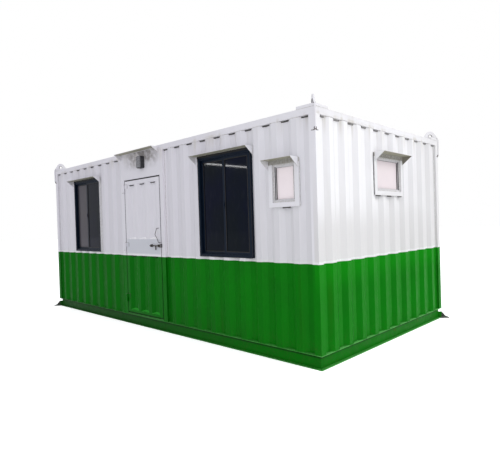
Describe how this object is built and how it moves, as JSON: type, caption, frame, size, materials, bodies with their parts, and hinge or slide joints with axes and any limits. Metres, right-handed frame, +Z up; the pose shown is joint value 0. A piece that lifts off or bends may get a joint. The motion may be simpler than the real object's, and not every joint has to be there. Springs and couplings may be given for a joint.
{
  "type": "portable site cabin",
  "caption": "Portable site cabin: ribbed steel walls on a beam base, a hinged door with a sliding bolt, hooded windows and corner lifting lugs.",
  "frame": {"origin": "on the ground under the middle of the cabin, on the underside of the middle floor joist", "axes": "+X along the length to the right seen from the door side, +Y from the door side to the back, +Z up"},
  "size_m": [6.341, 3.293, 2.732],
  "materials": {
    "wall_paint": "gloss",
    "white_paint": "gloss",
    "base_paint": "gloss",
    "floor_board": "satin",
    "black_aluminium": "satin",
    "grey_aluminium": "satin",
    "dark_glass": "gloss",
    "frosted_glass": "satin",
    "bolt_steel": "worn",
    "lamp_plastic": "matte",
    "lamp_lens": "satin"
  },
  "bodies": {
    "cabin": {"front_wall_piers": "wall_paint", "front_wall_infill": "wall_paint", "right_wall_piers": "wall_paint", "right_wall_infill": "wall_paint", "back_wall": "wall_paint", "left_wall": "wall_paint", "corner_posts": "wall_paint", "door_jambs": "wall_paint", "door_head": "wall_paint", "over_door_panel": "wall_paint", "hinge_lower_barrels": "wall_paint", "top_side_rails": "white_paint", "top_end_rails": "white_paint", "corner_caps": "white_paint", "roof": "white_paint", "window_hoods": "white_paint", "door_hood": "white_paint", "small_window_surrounds": "white_paint", "lifting_lug_front_left": "white_paint", "lifting_lug_front_right": "white_paint", "lifting_lug_back_left": "white_paint", "lifting_lug_back_right": "white_paint", "base_side_beams": "base_paint", "base_end_beams": "base_paint", "floor_joists": "base_paint", "lashing_plates": "base_paint", "door_sill": "base_paint", "floor": "floor_board", "left_window_frame": "black_aluminium", "left_window_sashes": "black_aluminium", "right_window_frame": "black_aluminium", "right_window_sashes": "black_aluminium", "front_small_window_frame": "grey_aluminium", "end_small_window_frame": "grey_aluminium", "left_window_glass": "dark_glass", "right_window_glass": "dark_glass", "front_small_window_glass": "frosted_glass", "end_small_window_glass": "frosted_glass", "bolt_keeper": "bolt_steel", "lamp_body": "lamp_plastic", "lamp_glass": "lamp_lens"},
    "door": {"door_leaf": "wall_paint", "hinge_upper_barrels": "wall_paint", "bolt_guides": "bolt_steel", "pull_handle": "bolt_steel"},
    "bolt": {"bolt": "bolt_steel"}
  },
  "joints": [
    {"name": "door_hinge", "type": "hinge", "parent": "cabin", "child": "door", "pos_m": [-0.519, -1.537, 0.335], "axis": [0, 0, -1], "range_deg": [0, 165]},
    {"name": "bolt_slide", "type": "slide", "parent": "door", "child": "bolt", "axis": [1, 0, 0], "range_m": [0, 0.05]}
  ]
}
